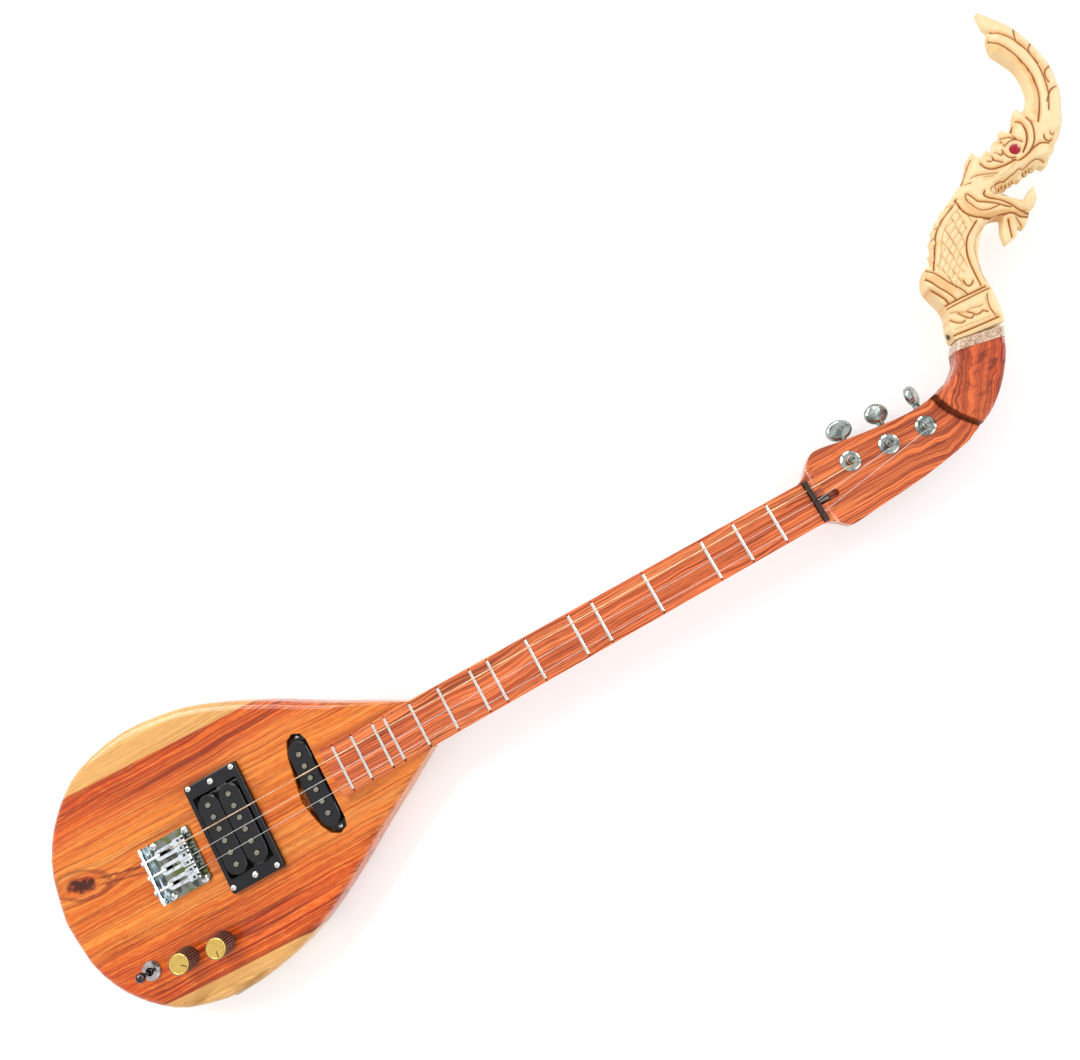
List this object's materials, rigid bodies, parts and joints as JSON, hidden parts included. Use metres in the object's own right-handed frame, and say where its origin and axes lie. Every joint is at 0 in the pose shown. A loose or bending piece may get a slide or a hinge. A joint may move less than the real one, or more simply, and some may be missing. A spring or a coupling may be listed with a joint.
{
  "type": "electric phin lute",
  "caption": "Electric phin: a plucked lute with a pear-shaped wooden body, long fretted neck, side tuners, pickups and a carved naga head, lying on its back.",
  "frame": {"origin": "on the flat back of the body, under the saddle line of the bridge and on the string axis", "axes": "+X along the neck towards the head, +Y to the bass side and the tuner buttons, +Z out of the face"},
  "size_m": [1.02, 0.3937, 0.0641],
  "materials": {
    "body": "high-gloss oiled rosewood with pale sapwood edges",
    "neck": "high-gloss red-brown rosewood",
    "fretboard": "gloss red-brown rosewood",
    "carving": "satin carved pale wood",
    "collar": "polished speckled palm wood",
    "frets": "polished nickel silver",
    "nut": "polished black",
    "truss": "plain steel",
    "gem": "faceted red glass",
    "pickup_ring": "moulded satin black",
    "bobbin": "moulded black",
    "poles": "nickel plated",
    "baseplate": "nickel silver",
    "bridge": "mirror chrome",
    "screws": "bright steel",
    "wound_string": "bronze winding",
    "plain_string": "bright steel wire",
    "tuners": "mirror chrome",
    "knobs": "dark brown",
    "pots": "plated steel",
    "switch": "polished chrome",
    "lever": "dark polished",
    "jack": "polished chrome",
    "cover": "satin black"
  },
  "bodies": {
    "instrument": {"body": "body", "control_cover": "cover", "neck": "neck", "fretboard": "fretboard", "fret_01": "frets", "fret_02": "frets", "fret_03": "frets", "fret_05": "frets", "fret_07": "frets", "fret_08": "frets", "fret_10": "frets", "fret_12": "frets", "fret_13": "frets", "fret_15": "frets", "fret_17": "frets", "fret_19": "frets", "fret_20": "frets", "fret_22": "frets", "fret_24": "frets", "nut": "nut", "truss_rod": "truss", "head_collar": "collar", "naga_head": "carving", "eye_gem_front": "gem", "eye_gem_back": "gem", "humbucker_ring": "pickup_ring", "humbucker_bobbin_bridge": "bobbin", "humbucker_bobbin_neck": "bobbin", "humbucker_poles_bridge": "poles", "humbucker_poles_neck": "poles", "humbucker_baseplate": "baseplate", "single_coil_bobbin": "bobbin", "single_coil_poles": "poles", "bridge_plate": "bridge", "string_1": "wound_string", "string_2": "plain_string", "string_3": "plain_string", "tuner_housing_1": "tuners", "tuner_housing_2": "tuners", "tuner_housing_3": "tuners", "volume_pot": "pots", "tone_pot": "pots", "switch_body": "switch", "output_jack": "jack"},
    "truss_nut": {"truss_rod_nut": "truss"},
    "volume_control": {"volume_knob": "knobs"},
    "tone_control": {"tone_knob": "knobs"},
    "pickup_selector": {"switch_lever": "lever"},
    "saddle_block_1": {"saddle_1": "bridge"},
    "saddle_screw_1": {"intonation_screw_1": "screws"},
    "tuner_spindle_1": {"tuner_post_1": "tuners"},
    "tuner_key_1": {"tuner_button_1": "tuners"},
    "saddle_block_2": {"saddle_2": "bridge"},
    "saddle_screw_2": {"intonation_screw_2": "screws"},
    "tuner_spindle_2": {"tuner_post_2": "tuners"},
    "tuner_key_2": {"tuner_button_2": "tuners"},
    "saddle_block_3": {"saddle_3": "bridge"},
    "saddle_screw_3": {"intonation_screw_3": "screws"},
    "tuner_spindle_3": {"tuner_post_3": "tuners"},
    "tuner_key_3": {"tuner_button_3": "tuners"}
  },
  "joints": [
    {"name": "truss_nut_turn", "type": "hinge", "parent": "instrument", "child": "truss_nut", "pos_m": [0.5635, -0.0015, 0.0363], "axis": [1, 0, 0], "range_deg": [-180, 180]},
    {"name": "volume_turn", "type": "hinge", "parent": "instrument", "child": "volume_control", "pos_m": [-0.0405, -0.0702, 0.05], "axis": [0, 0, 1], "range_deg": [-150, 150]},
    {"name": "tone_turn", "type": "hinge", "parent": "instrument", "child": "tone_control", "pos_m": [-0.009, -0.0735, 0.05], "axis": [0, 0, 1], "range_deg": [-150, 150]},
    {"name": "selector_tilt", "type": "hinge", "parent": "instrument", "child": "pickup_selector", "pos_m": [-0.0715, -0.065, 0.044], "axis": [0, 1, 0], "range_deg": [-12, 12]},
    {"name": "tuner_1_key_turn", "type": "hinge", "parent": "instrument", "child": "tuner_key_1", "pos_m": [0.60876, 0.01312, 0.0205], "axis": [0.1045, 0.9945, 0], "continuous": true},
    {"name": "tuner_1_post_turn", "type": "hinge", "parent": "instrument", "child": "tuner_spindle_1", "pos_m": [0.6013, 0.0139, 0.045], "axis": [0, 0, 1], "continuous": true, "deforming": ["string_1"]},
    {"name": "saddle_1_screw_turn", "type": "hinge", "parent": "instrument", "child": "saddle_screw_1", "pos_m": [-0.0383, 0.0104, 0.0499], "axis": [1, 0, 0], "range_deg": [-2160, 2160]},
    {"name": "saddle_1_slide", "type": "slide", "parent": "instrument", "child": "saddle_block_1", "axis": [1, 0, 0], "range_m": [-0.003, 0.003]},
    {"name": "tuner_2_key_turn", "type": "hinge", "parent": "instrument", "child": "tuner_key_2", "pos_m": [0.64066, 0.01002, 0.0205], "axis": [0.1045, 0.9945, 0], "continuous": true},
    {"name": "tuner_2_post_turn", "type": "hinge", "parent": "instrument", "child": "tuner_spindle_2", "pos_m": [0.6332, 0.0108, 0.045], "axis": [0, 0, 1], "continuous": true, "deforming": ["string_2"]},
    {"name": "saddle_2_screw_turn", "type": "hinge", "parent": "instrument", "child": "saddle_screw_2", "pos_m": [-0.0383, -0.002, 0.0499], "axis": [1, 0, 0], "range_deg": [-2160, 2160]},
    {"name": "saddle_2_slide", "type": "slide", "parent": "instrument", "child": "saddle_block_2", "axis": [1, 0, 0], "range_m": [-0.003, 0.003]},
    {"name": "tuner_3_key_turn", "type": "hinge", "parent": "instrument", "child": "tuner_key_3", "pos_m": [0.67186, 0.00852, 0.0205], "axis": [0.1045, 0.9945, 0], "continuous": true},
    {"name": "tuner_3_post_turn", "type": "hinge", "parent": "instrument", "child": "tuner_spindle_3", "pos_m": [0.6644, 0.0093, 0.045], "axis": [0, 0, 1], "continuous": true, "deforming": ["string_3"]},
    {"name": "saddle_3_screw_turn", "type": "hinge", "parent": "instrument", "child": "saddle_screw_3", "pos_m": [-0.0383, -0.0144, 0.0499], "axis": [1, 0, 0], "range_deg": [-2160, 2160]},
    {"name": "saddle_3_slide", "type": "slide", "parent": "instrument", "child": "saddle_block_3", "axis": [1, 0, 0], "range_m": [-0.003, 0.003]}
  ],
  "couplings": [
    {"joint": "tuner_1_post_turn", "follows": "tuner_1_key_turn", "ratio": 0.066667},
    {"joint": "saddle_1_screw_turn", "follows": "saddle_1_slide", "rad_per_m": 12566},
    {"joint": "tuner_2_post_turn", "follows": "tuner_2_key_turn", "ratio": 0.066667},
    {"joint": "saddle_2_screw_turn", "follows": "saddle_2_slide", "rad_per_m": 12566},
    {"joint": "tuner_3_post_turn", "follows": "tuner_3_key_turn", "ratio": 0.066667},
    {"joint": "saddle_3_screw_turn", "follows": "saddle_3_slide", "rad_per_m": 12566}
  ]
}
